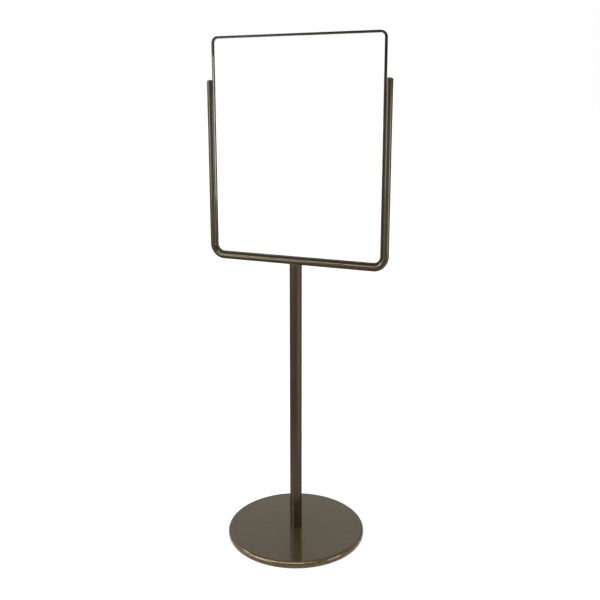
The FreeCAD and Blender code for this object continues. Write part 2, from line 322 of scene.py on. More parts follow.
def softened(mesh, width, steps=2):
    """The mesh with its sharp edges rounded."""
    sharp = [edge for edge in mesh.edges
             if len(edge.link_faces) == 2 and edge.calc_face_angle() > SHARP_ANGLE]
    bmesh.ops.bevel(mesh, geom=sharp, offset=width, segments=steps, profile=0.5, affect="EDGES",
                    clamp_overlap=True)
    return mesh


def make_piece(name, mesh, material, body, slot, *nodes):
    """Scene object that rides on a body and stands for the CAD nodes given."""
    bmesh.ops.recalc_face_normals(mesh, faces=mesh.faces)
    data = bpy.data.meshes.new(name)
    mesh.to_mesh(data)
    mesh.free()
    data.polygons.foreach_set("use_smooth", [True] * len(data.polygons))
    data.set_sharp_from_angle(angle=SHARP_ANGLE)
    data.materials.append(material)
    piece = bpy.data.objects.new(name, data)
    bpy.context.scene.collection.objects.link(piece)
    normals = piece.modifiers.new("even_shading", "WEIGHTED_NORMAL")
    normals.keep_sharp = True
    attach(piece, body)
    if nodes:
        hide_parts(*nodes)
    return piece


# --- materials ----------------------------------------------------------------------------------
class Surface:
    """A Principled material, and the short calls that add procedural detail to it."""

    def __init__(self, name, constants):
        self.material = bpy.data.materials.new(name)
        self.material.use_nodes = True
        self.tree = self.material.node_tree
        self.shader = self.tree.nodes["Principled BSDF"]
        for socket, value in constants.items():
            self.shader.inputs[socket].default_value = value
        self.place = self.node("ShaderNodeTexCoord").outputs["Object"]
        self.normal = None

    def node(self, kind, settings=None, inputs=None):
        node = self.tree.nodes.new(kind)
        for key, value in (settings or {}).items():
            setattr(node, key, value)
        for key, value in (inputs or {}).items():
            if isinstance(value, bpy.types.NodeSocket):
                self.tree.links.new(value, node.inputs[key])
            else:
                node.inputs[key].default_value = value
        return node

    def stretched(self, scale):
        """The object's coordinates, multiplied along each axis."""
        return self.node("ShaderNodeMapping", inputs={"Vector": self.place, "Scale": scale}).outputs["Vector"]

    def noise(self, scale, detail=4.0, place=None):
        node = self.node("ShaderNodeTexNoise", inputs={
            "Vector": place or self.place, "Scale": scale, "Detail": detail, "Roughness": 0.6})
        return node.outputs["Fac"]

    def remap(self, value, low, high, to_low=0, to_high=1):
        """The value between low and high, brought to to_low and to_high and held there beyond them."""
        node = self.node("ShaderNodeMapRange", inputs={
            "Value": value, "From Min": low, "From Max": high, "To Min": to_low, "To Max": to_high})
        return node.outputs["Result"]

    def times(self, first, second):
        return self.node("ShaderNodeMath", {"operation": "MULTIPLY"}, {0: first, 1: second}).outputs[0]

    def mixed(self, amount, first, second):
        """Colour first where amount is 0, second where it is 1."""
        node = self.node("ShaderNodeMix", {"data_type": "RGBA"}, {"Factor": amount})
        for socket, colour in ((6, first), (7, second)):
            if isinstance(colour, bpy.types.NodeSocket):
                self.tree.links.new(colour, node.inputs[socket])
            else:
                node.inputs[socket].default_value = (*colour, 1)
        return node.outputs[2]

    def edges(self):
        """Above 0 on the rubbed roundings of the piece's edges, below 0 where shade is painted into its
        grooves and creases.
        """
        return self.node("ShaderNodeAttribute", {"attribute_name": "wear_and_shade"}).outputs["Fac"]

    def patchy_wear(self, scale, low, high, most=1.0):
        """The rubbed edges, broken up by noise of the scale between low and high."""
        return self.times(self.remap(self.edges(), 0, 1, 0, most), self.remap(self.noise(scale), low, high))

    def set(self, socket, value):
        self.tree.links.new(value, self.shader.inputs[socket])

    def bump(self, height, distance, strength=1.0):
        inputs = {"Height": height, "Distance": distance, "Strength": strength}
        if self.normal is not None:
            inputs["Normal"] = self.normal
        self.normal = self.node("ShaderNodeBump", inputs=inputs).outputs["Normal"]
        self.set("Normal", self.normal)


# near-black painted shade for grooves and creases
GROOVE_PAINTED_SHADE = (0.012, 0.010, 0.008)
PAINTED_SHADE_COAT = 0.1                  # coat weight left where shade is painted
FLAKE_GAIN = 1.25                 # brightness of the flake over the light colour
FINE_PEEL = 1 / 6                 # height of the finest grain, in heights of the orange peel
BRONZE = {"Metallic": 0.7, "Specular Tint": (0.6, 0.56, 0.5, 1), "Specular IOR Level": 0.3, "Coat IOR": 1.5}


def bronze_lacquer(name, deep, light, worn, constants, roughness, peel):
    """Bronze lacquer on steel: soft mottling, fine flake, a slight orange peel, brighter rubbed edges,
    painted shade in grooves and creases.
    """
    surface = Surface(name, constants)
    mottle = surface.remap(surface.noise(scale=7, detail=5), 0.3, 0.7)
    colour = surface.mixed(mottle, deep, light)
    flake = surface.remap(surface.noise(scale=2600, detail=1), 0.35, 0.65, to_high=0.35)
    colour = surface.mixed(flake, colour, tuple(FLAKE_GAIN * channel for channel in light))
    colour = surface.mixed(surface.patchy_wear(scale=60, low=0.45, high=0.75, most=0.4), colour, worn)
    # painted shade: grooves and creases get the near-black colour and a thinner coat
    painted_shade = surface.remap(surface.edges(), 0, -1)
    surface.set("Base Color", surface.mixed(painted_shade, colour, GROOVE_PAINTED_SHADE))
    surface.set("Coat Weight", surface.remap(painted_shade, 0, 1, constants["Coat Weight"], PAINTED_SHADE_COAT))
    surface.set("Roughness", surface.remap(surface.noise(scale=24, detail=6), 0.25, 0.75, *roughness))
    surface.bump(surface.noise(scale=420, detail=2), peel)
    surface.bump(surface.noise(scale=3200, detail=1), peel * FINE_PEEL)
    return surface


def tube_bronze():
    return bronze_lacquer(
        "tube_bronze_lacquer",
        deep=(0.034, 0.025, 0.014), light=(0.043, 0.032, 0.018), worn=(0.12, 0.088, 0.055),
        constants={**BRONZE, "Coat Weight": 0.38, "Coat Roughness": 0.08},
        roughness=(0.30, 0.40), peel=0.012 * MM).material


def insert_bronze():
    return bronze_lacquer(
        "insert_bronze_lacquer",
        deep=(0.033, 0.025, 0.017), light=(0.042, 0.032, 0.022), worn=(0.14, 0.10, 0.065),
        constants={**BRONZE, "Coat Weight": 1.0, "Coat Roughness": 0.06},
        roughness=(0.26, 0.36), peel=0.010 * MM).material


def base_bronze():
    """The same lacquer on the spun cover, with the faint rings of the spinning under it."""
    surface = bronze_lacquer(
        "base_bronze_lacquer",
        deep=(0.054, 0.038, 0.014), light=(0.062, 0.044, 0.018), worn=(0.15, 0.105, 0.055),
        constants={"Metallic": 0.8, "Coat Weight": 0.75, "Coat Roughness": 0.05, "Coat IOR": 1.5},
        roughness=(0.38, 0.46), peel=0.003 * MM)
    flat = surface.node("ShaderNodeVectorMath", {"operation": "MULTIPLY"},
                        {0: surface.place, 1: (1, 1, 0)}).outputs["Vector"]
    radius = surface.node("ShaderNodeVectorMath", {"operation": "LENGTH"}, {0: flat}).outputs["Value"]
    rings = surface.node("ShaderNodeTexNoise", {"noise_dimensions": "1D"},
                         {"W": radius, "Scale": 900.0, "Detail": 3.0})
    surface.bump(rings.outputs["Fac"], 0.002 * MM, strength=0.6)
    return surface.material


def zinc_steel():
    """Clear zinc plating: pale steel with faint blue and straw clouds."""
    blue, straw, grime_colour = (0.50, 0.51, 0.53), (0.60, 0.56, 0.47), (0.16, 0.14, 0.11)
    surface = Surface("zinc_plated_steel", {"Metallic": 1.0})
    clouds = surface.remap(surface.noise(scale=90, detail=4), 0.35, 0.65)
    grime = surface.remap(surface.noise(scale=300, detail=6), 0.55, 0.8, to_high=0.5)
    surface.set("Base Color", surface.mixed(grime, surface.mixed(clouds, blue, straw), grime_colour))
    surface.set("Roughness", surface.remap(surface.noise(scale=200, detail=3), 0.3, 0.7, 0.24, 0.42))
    surface.bump(surface.noise(scale=1500, detail=2), 0.01 * MM)
    return surface.material


def plain_steel():
    """Turned and sheared steel, left bare, with a light oil stain."""
    clean, stained = (0.36, 0.35, 0.34), (0.20, 0.17, 0.14)
    surface = Surface("plain_steel", {"Metallic": 1.0})
    stain = surface.remap(surface.noise(scale=55, detail=5), 0.4, 0.7)
    surface.set("Base Color", surface.mixed(stain, clean, stained))
    tool_marks = surface.noise(scale=1, detail=2, place=surface.stretched((120, 120, 2600)))
    surface.set("Roughness", surface.remap(tool_marks, 0.3, 0.7, 0.30, 0.46))
    surface.bump(tool_marks, 0.02 * MM)
    return surface.material


def cast_iron():
    """Black-painted sand casting: open grain, with rust in the low spots."""
    black, grey, rusty = (0.022, 0.021, 0.020), (0.045, 0.042, 0.038), (0.16, 0.055, 0.02)
    surface = Surface("painted_cast_iron", {"Metallic": 0.15})
    grain = surface.noise(scale=650, detail=6)
    rust = surface.remap(surface.noise(scale=45, detail=6), 0.55, 0.72, to_high=0.8)
    paint = surface.mixed(surface.remap(grain, 0.3, 0.7), black, grey)
    surface.set("Base Color", surface.mixed(rust, paint, rusty))
    surface.set("Roughness", surface.remap(grain, 0.3, 0.7, 0.62, 0.82))
    surface.bump(grain, 0.25 * MM, strength=0.8)
    return surface.material


def rubber():
    """Moulded black rubber with a dusty bloom."""
    black, dusty = (0.016, 0.016, 0.017), (0.10, 0.095, 0.088)
    surface = Surface("floor_pad_rubber", {"Metallic": 0.0, "Specular IOR Level": 0.35})
    dust = surface.remap(surface.noise(scale=35, detail=7), 0.45, 0.75, to_high=0.6)
    surface.set("Base Color", surface.mixed(dust, black, dusty))
    surface.set("Roughness", surface.remap(surface.noise(scale=160, detail=4), 0.3, 0.7, 0.66, 0.86))
    surface.bump(surface.noise(scale=1800, detail=2), 0.03 * MM)
    return surface.material


def cap_plastic():
    """Dark brown moulded plastic with a fine spark-eroded grain."""
    dark, light, worn = (0.030, 0.023, 0.017), (0.042, 0.033, 0.025), (0.11, 0.09, 0.07)
    surface = Surface("end_cap_plastic", {"Metallic": 0.0, "Specular IOR Level": 0.5})
    shade = surface.remap(surface.noise(scale=140, detail=3), 0.35, 0.65)
    rubbed = surface.patchy_wear(scale=300, low=0.5, high=0.75)
    surface.set("Base Color", surface.mixed(rubbed, surface.mixed(shade, dark, light), worn))
    surface.set("Roughness", surface.remap(surface.noise(scale=260, detail=4), 0.3, 0.7, 0.34, 0.48))
    surface.bump(surface.noise(scale=2400, detail=1), 0.02 * MM)
    return surface.material


# --- base ---------------------------------------------------------------------------------------
def cover_outline():
    """Closed outline of the cover's sheet, from the post's foot over the shoulder to the hem."""
    radius, top, foot, hole = COVER_HIGH.x, COVER_HIGH.z, COVER_LOW.z, COVER_HOLE
    hem = radius - COVER_HEM
    inside = radius - COVER_SHEET
    return rounded([
        (hole, top, 0), (radius, top, COVER_SHOULDER), (radius, foot, COVER_CURL), (hem, foot, FINE_EDGE),
        (hem, foot + COVER_SHEET, FINE_EDGE), (inside, foot + COVER_SHEET, COVER_CURL - COVER_SHEET),
        (inside, top - COVER_SHEET, COVER_SHOULDER - COVER_SHEET), (hole, top - COVER_SHEET, 0),
    ], steps=16)


def base_shell(material):
    make_piece("base_shell", lathe(cover_outline(), 2 * TURN_SEGMENTS), material, "stand", "base_bronze",
               "base_cover")


def ballast_disc(material):
    """Cast weight: chamfered top edge, a pocket for the bush above and one for the nut below."""
    radius, low, high = WEIGHT_HIGH.x, WEIGHT_LOW.z, WEIGHT_HIGH.z
    pocket = high - BUSH_POCKET
    outline = rounded([
        (BOLT_HOLE, RECESS_TOP, 0), (RECESS_RADIUS, RECESS_TOP, WEIGHT_CAST_ROUND),
        (RECESS_RADIUS, low, WEIGHT_CAST_ROUND / 2), (radius, low, SOFT_EDGE),
        (radius, high - WEIGHT_CHAMFER, SOFT_EDGE), (radius - WEIGHT_CHAMFER, high, SOFT_EDGE),
        (COVER_HOLE, high, 0), (COVER_HOLE, pocket, 0), (BOLT_HOLE, pocket, 0),
    ])
    make_piece("ballast_disc", lathe(outline), material, "stand", "cast_iron", "base_weight")


def ribbed_pad(material):
    """Rubber pad with rings moulded in its underside for grip."""
    inner, outer, low, high = RECESS_RADIUS, PAD_HIGH.x, PAD_LOW.z, PAD_HIGH.z
    pitch = (outer - inner) / (PAD_RIBS + 1)
    corners = [(inner, high, 0), (inner, low, SOFT_EDGE)]
    for index in range(1, PAD_RIBS + 1):
        left = inner + index * pitch - PAD_RIB_GROOVE / 2
        right = left + PAD_RIB_GROOVE
        corners += [(left, low, FINE_EDGE), (left, low + PAD_RIB_DEPTH, FINE_EDGE),
                    (right, low + PAD_RIB_DEPTH, FINE_EDGE), (right, low, FINE_EDGE)]
    corners += [(outer, low, SOFT_EDGE), (outer, high, 0)]
    make_piece("ribbed_pad", lathe(rounded(corners, 3)), material, "stand", "rubber", "floor_pad")


def post_foot_bush(material):
    low, high, radius = BUSH_LOW.z, BUSH_HIGH.z, BUSH_HIGH.x
    outline = rounded([(BOLT_HOLE, low, 0), (radius, low, FINE_EDGE), (radius, high, BUSH_CHAMFER),
                       (BOLT_HOLE, high, SOFT_EDGE)], 4)
    make_piece("post_foot_bush", lathe(outline, SMALL_SEGMENTS), material, "stand", "plain_steel",
               "foot_bush")


# --- post and the fixings on the tie rod --------------------------------------------------------
def post_column(material):
    outer, low, high = POST_HIGH.x, POST_LOW.z, POST_HIGH.z
    inner = outer - POST_WALL
    outline = rounded([(inner, low, FINE_EDGE), (outer, low, SOFT_EDGE), (outer, high, FINE_EDGE),
                       (inner, high, FINE_EDGE)], 4)
    make_piece("post_column", lathe(outline), material, "stand", "bronze", "post_tube")


def threaded_rod(material):
    """Tie rod with a real helix cut in both ends."""
    radius, low, high = ROD_HIGH.x, ROD_LOW.z, ROD_HIGH.z
    row = THREAD_PITCH / THREAD_ROWS
    rows_per_end = round(THREAD_LENGTH / row)
    heights = [low + row * index for index in range(rows_per_end + 1)]
    heights += [high - row * index for index in range(rows_per_end, -1, -1)]
    mesh = new_mesh()
    rings = []
    for height in heights:
        end = min(height - low, high - height)
        fade = min(1.0, (THREAD_LENGTH - end) / THREAD_PITCH)
        ring = []
        for step in range(SMALL_SEGMENTS):
            angle = 2 * math.pi * step / SMALL_SEGMENTS
            wave = abs(2 * ((height / THREAD_PITCH - angle / (2 * math.pi)) % 1) - 1)
            crest = radius - max(0.0, THREAD_DEPTH - end) * ROD_TIP_TAPER
            reach = min(crest, radius - THREAD_DEPTH * wave * fade)
            ring.append((Vector((reach * math.cos(angle), reach * math.sin(angle), height)), 1 - wave))
        rings.append(add_ring(mesh, ring))
    for ring, next_ring in zip(rings, rings[1:]):
        bridge(mesh, ring, next_ring)
    mesh.faces.new(rings[0])
    mesh.faces.new(rings[-1])
    make_piece("threaded_rod", mesh, material, "stand", "zinc_steel", "tie_rod")


def hexagon_nut(material):
    low, high = NUT_LOW.z, NUT_HIGH.z
    corner = max(NUT_HIGH.x, NUT_HIGH.y)
    blank = lathe(rounded([
        (ROD_HIGH.x, low + NUT_CHAMFER, 0), (ROD_HIGH.x + NUT_CHAMFER, low, 0),
        (corner - NUT_CHAMFER, low, 0), (corner, low + NUT_CHAMFER / 2, 0),
        (corner, high - NUT_CHAMFER / 2, 0), (corner - NUT_CHAMFER, high, 0),
        (ROD_HIGH.x + NUT_CHAMFER, high, 0), (ROD_HIGH.x, high - NUT_CHAMFER, 0),
    ]), SMALL_SEGMENTS)
    hexagon = [(corner * math.cos(math.radians(a)), corner * math.sin(math.radians(a)), 0.0)
               for a in range(0, 360, 60)]
    nut = combined(blank, prism(hexagon, low - CUT_PAST, high + CUT_PAST), "INTERSECT")
    make_piece("hexagon_nut", softened(nut, STAMPED_EDGE), material, "stand", "zinc_steel", "tie_rod_nut")


def spring_washer(material):
    low, high, radius = SPRING_LOW.z, SPRING_HIGH.z, -SPRING_LOW.x
    outline = rounded([(BOLT_HOLE, low, FINE_EDGE), (radius, low, FINE_EDGE), (radius, high, FINE_EDGE),
                       (BOLT_HOLE, high, FINE_EDGE)], 3)
    washer = lathe(outline, SMALL_SEGMENTS, gap=SPRING_SPLIT / radius)
    make_piece("spring_washer", washer, material, "stand", "zinc_steel", "lock_washer")


def wide_washer(material):
    low, high, radius = WASHER_LOW.z, WASHER_HIGH.z, WASHER_HIGH.x
    outline = rounded([(BOLT_HOLE, low, FINE_EDGE), (radius, low, SOFT_EDGE), (radius, high, FINE_EDGE),
                       (BOLT_HOLE, high, FINE_EDGE)], 4)
    make_piece("wide_washer", lathe(outline), material, "stand", "zinc_steel", "flat_washer")


# --- head boss and cradle -----------------------------------------------------------------------
def post_head(material):
    """Plug and flange with a saddle milled across the top for the cradle tube."""
    low, seat, high = BOSS_LOW.z, POST_HIGH.z, BOSS_HIGH.z
    hole_top = low + THREAD_HOLE_DEPTH
    blank = lathe(rounded([
        (0, hole_top, 0), (THREAD_HOLE, hole_top, 0), (THREAD_HOLE, low, FINE_EDGE),
        (BUSH_HIGH.x, low, SOFT_EDGE), (BUSH_HIGH.x, seat, 0), (POST_HIGH.x, seat, FINE_EDGE),
        (POST_HIGH.x, high, SADDLE_EDGE), (0, high, 0),
    ]))
    along_x = Matrix.Translation((0, 0, CRADLE_Z)) @ Matrix.Rotation(math.pi / 2, 4, "Y")
    span = 2 * POST_HIGH.x
    cutter = lathe([(0, -span, 0), (TUBE_RADIUS, -span, 0), (TUBE_RADIUS, span, 0), (0, span, 0)])
    head = combined(blank, placed(cutter, along_x), "DIFFERENCE")
    make_piece("post_head", head, material, "stand", "bronze", "head_boss")


def saddle_weld(name, side, material):
    """Short rippled bead between the cradle tube and the head, at the front (-1) or back (+1)."""
    outline = [(0, BEAD_HALF_LENGTH, 0.0)]
    for index in range(1, BEAD_STEPS):
        share = 1 - 2 * index / BEAD_STEPS
        taper = math.sqrt(1 - share ** 4)
        ripple = 1 + BEAD_RIPPLE_SHARE * math.cos(math.pi * BEAD_RIPPLES * share)
        outline.append((BEAD_RADIUS * taper * ripple, BEAD_HALF_LENGTH * share, 0.0))
    outline.append((0, -BEAD_HALF_LENGTH, 0.0))
    y = side * math.sqrt(TUBE_RADIUS ** 2 - (TUBE_RADIUS - SADDLE_DEPTH) ** 2)
    along_x = Matrix.Translation((0, y, BOSS_HIGH.z)) @ Matrix.Rotation(math.pi / 2, 4, "Y")
    make_piece(name, placed(lathe(outline, BEAD_SEGMENTS), along_x), material, "stand", "bronze")


def sheltered(outline, floor, mouth, half_width):
    """The outline of (inward, y) points with their marks, -1 (painted shade) on what lies inside a slot
    between floor and mouth.
    """
    def inside(u, v):
        return floor - FINE_EDGE < u < mouth and abs(v) < half_width + FINE_EDGE / 3

    return [(u, v, -1.0 if inside(u, v) else wear_and_shade) for u, v, wear_and_shade in outline]


def groove_outlines():
    """Outside of the grooved tube, and its bore, as (inward, y, wear) loops."""
    start = math.atan2(GROOVE_HALF, GROOVE_LIP)
    turn = [start + (2 * math.pi - 2 * start) * index / GROOVED_STEPS for index in range(1, GROOVED_STEPS)]
    outside = [(TUBE_RADIUS * math.cos(a), TUBE_RADIUS * math.sin(a), 0) for a in turn]
    corners = [(GROOVE_LIP, GROOVE_HALF, LIP_EDGE), *outside, (GROOVE_LIP, -GROOVE_HALF, LIP_EDGE),
               (GROOVE_FLOOR, -GROOVE_HALF, FINE_EDGE), (GROOVE_FLOOR, GROOVE_HALF, FINE_EDGE)]
    bore_radius = TUBE_RADIUS - TUBE_WALL
    bore_start = math.acos((GROOVE_FLOOR - TUBE_WALL) / bore_radius)
    bore = [(bore_radius * math.cos(a), bore_radius * math.sin(a), 0.0)
            for a in (bore_start + (2 * math.pi - 2 * bore_start) * index / BORE_STEPS
                      for index in range(BORE_STEPS + 1))]
    # painted shade inside the groove and on its lips, along the crease beside the insert
    return sheltered(rounded(corners, 4), GROOVE_FLOOR, TUBE_RADIUS, GROOVE_HALF + CREASE_PAINTED_SHADE), bore


def cradle_rail(material):
    """Grooved tube carried round the U, down the left arm and up the right one."""
    line = route([(-ARM_X, CRADLE_HIGH.z, 0), (-ARM_X, CRADLE_Z, BEND_RADIUS),
                  (ARM_X, CRADLE_Z, BEND_RADIUS), (ARM_X, CRADLE_HIGH.z, 0)])
    rail = sweep(groove_outlines(), route_frames(line))
    make_piece("cradle_rail", rail, material, "stand", "bronze", "cradle_tube")


def arm_end_cap(name, side, node, material):
    """Domed cap with a locating plug, and the groove carried through it."""
    low, high = CAP_LOW.z, CAP_HIGH.z
    seat = CRADLE_HIGH.z
    band_top = seat + CAP_BAND
    rise = high - band_top
    sphere = (TUBE_RADIUS ** 2 + rise ** 2) / (2 * rise)
    tilt = math.asin(TUBE_RADIUS / sphere)
    dome = [(sphere * math.sin(tilt * share), high - sphere + sphere * math.cos(tilt * share), 0.0)
            for share in (index / DOME_STEPS for index in range(DOME_STEPS))]
    outline = rounded([(0, low, 0), (PLUG_RADIUS, low, SOFT_EDGE), (PLUG_RADIUS, seat, 0),
                       (TUBE_RADIUS, seat, FINE_EDGE), (TUBE_RADIUS, band_top, FINE_EDGE), *dome[:0:-1],
                       (0, high, 0)])
    groove_edge = 4 * TUBE_RADIUS                           # anywhere well outside the cap
    groove = prism(rounded([
        (GROOVE_FLOOR, -GROOVE_HALF, 0), (groove_edge, -GROOVE_HALF, 0), (groove_edge, GROOVE_HALF, 0),
        (GROOVE_FLOOR, GROOVE_HALF, 0)]), seat - CUT_PAST, high + CUT_PAST)
    cap = softened(combined(lathe(outline, SMALL_SEGMENTS), groove, "DIFFERENCE"), STAMPED_EDGE)
    facing = Matrix.Rotation(math.pi if side > 0 else 0, 4, "Z")
    placed(cap, Matrix.Translation((side * ARM_X, 0, 0)) @ facing)
    make_piece(name, cap, material, "stand", "cap_plastic", node)


# --- sign insert --------------------------------------------------------------------------------
def channel_outline():
    """Square channel, with painted shade inside and up to a little above the tube that it sits in."""
    half, wall, deep = INSERT_SECTION / 2, INSERT_WALL, INSERT_SECTION
    # painted shade from the channel's back to a little past the tube's lips
    shade_line = GROOVE_LIP - TUBE_OFFSET + CREASE_PAINTED_SHADE
    outline = rounded([
        (0, -half, INSERT_EDGE), (0, half, INSERT_EDGE), (shade_line, half, 0),
        (deep, half, INSERT_EDGE), (deep, half - wall, INSERT_INNER_EDGE),
        (wall, half - wall, FINE_EDGE), (wall, wall - half, FINE_EDGE),
        (deep, wall - half, INSERT_INNER_EDGE), (deep, -half, INSERT_EDGE), (shade_line, -half, 0),
    ], 4)
    outline = sheltered(outline, wall, deep - UNSHADED_MOUTH, half - wall)
    return [(u, v, -1.0 if u <= shade_line else wear_and_shade) for u, v, wear_and_shade in outline]


def screw_blank(x, gap, low):
    """Countersunk screw body, grown by a gap where it makes a hole."""
    head, shank = SCREW_HEAD + gap, SCREW_SHANK + gap
    foot = INSERT_LOW.z
    depth = SCREW_HEAD - SCREW_SHANK
    outline = [(0, low, 0.0), (head, low, 0.0), (head, foot, 0.0), (shank, foot + depth, 0.0),
               (shank, SCREWS_HIGH.z, 0.0), (0, SCREWS_HIGH.z, 0.0)]
    if low == foot:
        outline = [outline[0], *outline[2:]]
    return placed(lathe(outline, SCREW_SEGMENTS), Matrix.Translation((x, 0, 0)))


def insert_frame(material):
    """Channel bent round the sign's edge, open side inwards, butted in the middle of the bottom."""
    half, low, high = INSERT_HIGH.x, INSERT_LOW.z, INSERT_HIGH.z
    bottom_corner = BEND_RADIUS - TUBE_OFFSET
    line = route([(SPLICE_GAP / 2, low, 0), (half, low, bottom_corner), (half, high, INSERT_TOP_CORNER),
                  (-half, high, INSERT_TOP_CORNER), (-half, low, bottom_corner), (-SPLICE_GAP / 2, low, 0)])
    channel = sweep([channel_outline()], route_frames(line))
    for x in (-SCREW_X, SCREW_X):
        channel = combined(channel, screw_blank(x, SCREW_HOLE_GAP, INSERT_LOW.z - CUT_PAST), "DIFFERENCE")
    make_piece("insert_frame", channel, material, "insert", "insert_bronze", "insert_channel")


def joint_plate(material):
    """Plate inside the channel that bridges the butt joint."""
    outline = rounded([(PLATE_LOW.x, PLATE_LOW.y, SOFT_EDGE), (PLATE_HIGH.x, PLATE_LOW.y, SOFT_EDGE),
                       (PLATE_HIGH.x, PLATE_HIGH.y, SOFT_EDGE), (PLATE_LOW.x, PLATE_HIGH.y, SOFT_EDGE)], 4)
    plate = prism(outline, PLATE_LOW.z, PLATE_HIGH.z)
    for x in (-SCREW_X, SCREW_X):
        plate = combined(plate, screw_blank(x, SCREW_HOLE_GAP / 2, INSERT_LOW.z), "DIFFERENCE")
    make_piece("joint_plate", softened(plate, PLATE_EDGE), material, "insert", "plain_steel", "splice_plate")


def joint_screw(name, x, material, *nodes):
    """Countersunk screw with a cross recess in its head."""
    screw = screw_blank(x, 0.0, INSERT_LOW.z)
    long, narrow = CROSS_REACH, CROSS_HALF
    cross = [(narrow, narrow), (long, narrow), (long, -narrow), (narrow, -narrow), (narrow, -long),
             (-narrow, -long), (-narrow, -narrow), (-long, -narrow), (-long, narrow), (-narrow, narrow),
             (-narrow, long), (narrow, long)]
    recess = prism([(x + u, v, 0.0) for u, v in cross], INSERT_LOW.z - CUT_PAST, INSERT_LOW.z + CROSS_DEPTH)
    make_piece(name, softened(combined(screw, recess, "DIFFERENCE"), SCREW_EDGE), material, "insert",
               "zinc_steel", *nodes)


# --- stage, light and camera --------------------------------------------------------------------
CAMERA_LENS = 46.684
CAMERA_SENSOR = 36.0
CAMERA_SHIFT = -0.045
CAMERA_BEARING = math.radians(24.23)
CAMERA_YAW = math.radians(23.907)
CAMERA_PITCH = math.radians(12.18)
CAMERA_DISTANCE = 2.1463
CAMERA_HEIGHT = 1.2639
AIM_HEIGHT = 0.7                  # what the lights point at

# fixed directions of the studio, square to the photo's view
RIGHT = (math.cos(CAMERA_YAW), math.sin(CAMERA_YAW), 0)
AWAY = (-math.sin(CAMERA_YAW), math.cos(CAMERA_YAW), 0)

# surround, as reflections see it; the edges are sines of elevations
BACKDROP_EDGE = (0.20, 0.38)
BACKDROP_LEVELS = (0.15, 0.82)
NEAR_WALLS = (0.24, 0.34)         # brightness from the left to the right
WALLS_MEET = (0.3, -0.4)          # shares of AWAY between the backdrop and the near walls
CEILING_EDGE = (0.62, 0.74)
CEILING_LEVEL = 0.42
ROOM_COLOUR = (1.0, 0.98, 0.92)
STRIP_ELEVATION = math.radians(60)
STRIP_HALF_WIDTH = math.radians(1.3)
STRIP_RIGHT_END = (0.0, 0.45)
STRIP_LEVEL = 54.0
STRIP_COLOUR = (1.0, 0.90, 0.76)
WHITE = (1, 1, 1, 1)

# floor as the camera sees it, then as reflections see it: each colour, and where it fades in, in metres
# or in shares of RIGHT or AWAY
FLOOR_RADIUS = 90.0
FLOOR_DROP = 0.1 * MM             # keeps the floor apart from the pad's underside
FLOOR_SEEN = (0.35, 0.35, 0.35)
FLOOR_GLOW = (0.9, 0.93, 1.0, 1)
FLOOR_GLOW_LEVEL = 0.72
# the floor that reflections see carries painted light and shade: lighter near the stand, to the right and far
# off, darker to the left and behind
FLOOR_LEFT = (0.26, 0.25, 0.23)
FLOOR_RIGHT = (0.80, 0.78, 0.78)
FLOOR_RIGHT_FADE = (0.1, 0.6)
FLOOR_CLOSE = (0.62, 0.64, 0.68)
FLOOR_CLOSE_FADE = (0.4, 0.9)
FLOOR_FAR = (0.74, 0.75, 0.73)
FLOOR_FAR_FADE = (2.5, 5.0)
FLOOR_BEHIND = (0.14, 0.14, 0.14)
FLOOR_BEHIND_FADE = (0.0, 0.5)
FLOOR_STRAIGHT_BEHIND = (0.40, 0.39, 0.37)
FLOOR_STRAIGHT_BEHIND_FADE = (0.75, 0.92)

# name: degrees to the camera's right, height, distance, (width, height), watts, colour
SOFT_BOXES = {
    "right_soft_box": (62, 0.85, 2.8, (1.1, 0.92), 27, (0.96, 0.95, 1.0)),
    "window": (-57, 1.12, 2.6, (0.9, 0.85), 24, (0.86, 1.0, 0.98)),
    "side_window": (-97, 1.6, 2.0, (0.5, 0.45), 14, (0.95, 1.0, 0.98)),
}


def studio_floor():
    """Pale floor that runs out of sight. Reflections see a darker one, uneven as in the photo's room."""
    mesh = bmesh.new()
    bmesh.ops.create_circle(mesh, cap_ends=True, cap_tris=True, segments=96, radius=FLOOR_RADIUS)
    data = bpy.data.meshes.new("studio_floor")
    mesh.to_mesh(data)
    mesh.free()
    floor = bpy.data.objects.new("studio_floor", data)
    bpy.context.scene.collection.objects.link(floor)
    surface = Surface("pale_floor", {"Roughness": 0.9, "Specular IOR Level": 0.0,
                                     "Emission Color": FLOOR_GLOW})

    def vector_value(operation, inputs):
        return surface.node("ShaderNodeVectorMath", {"operation": operation}, inputs).outputs["Value"]

    distance = vector_value("LENGTH", {0: surface.place})

    def share_along(axis, fade):
        along = vector_value("DOT_PRODUCT", {0: surface.place, 1: axis})
        share = surface.node("ShaderNodeMath", {"operation": "DIVIDE"}, {0: along, 1: distance})
        return surface.remap(share.outputs[0], *fade)

    # painted light and shade of the room on the floor that reflections see
    reflected = surface.mixed(share_along(RIGHT, FLOOR_RIGHT_FADE), FLOOR_LEFT, FLOOR_RIGHT)
    reflected = surface.mixed(surface.remap(distance, *FLOOR_CLOSE_FADE), FLOOR_CLOSE, reflected)
    reflected = surface.mixed(surface.remap(distance, *FLOOR_FAR_FADE), reflected, FLOOR_FAR)
    reflected = surface.mixed(share_along(AWAY, FLOOR_BEHIND_FADE), reflected, FLOOR_BEHIND)
    reflected = surface.mixed(share_along(AWAY, FLOOR_STRAIGHT_BEHIND_FADE), reflected, FLOOR_STRAIGHT_BEHIND)
    seen = surface.node("ShaderNodeLightPath").outputs["Is Camera Ray"]
    surface.set("Base Color", surface.mixed(seen, reflected, FLOOR_SEEN))
    surface.set("Emission Strength", surface.times(seen, FLOOR_GLOW_LEVEL))
    data.materials.append(surface.material)
    floor.location.z = -FLOOR_DROP


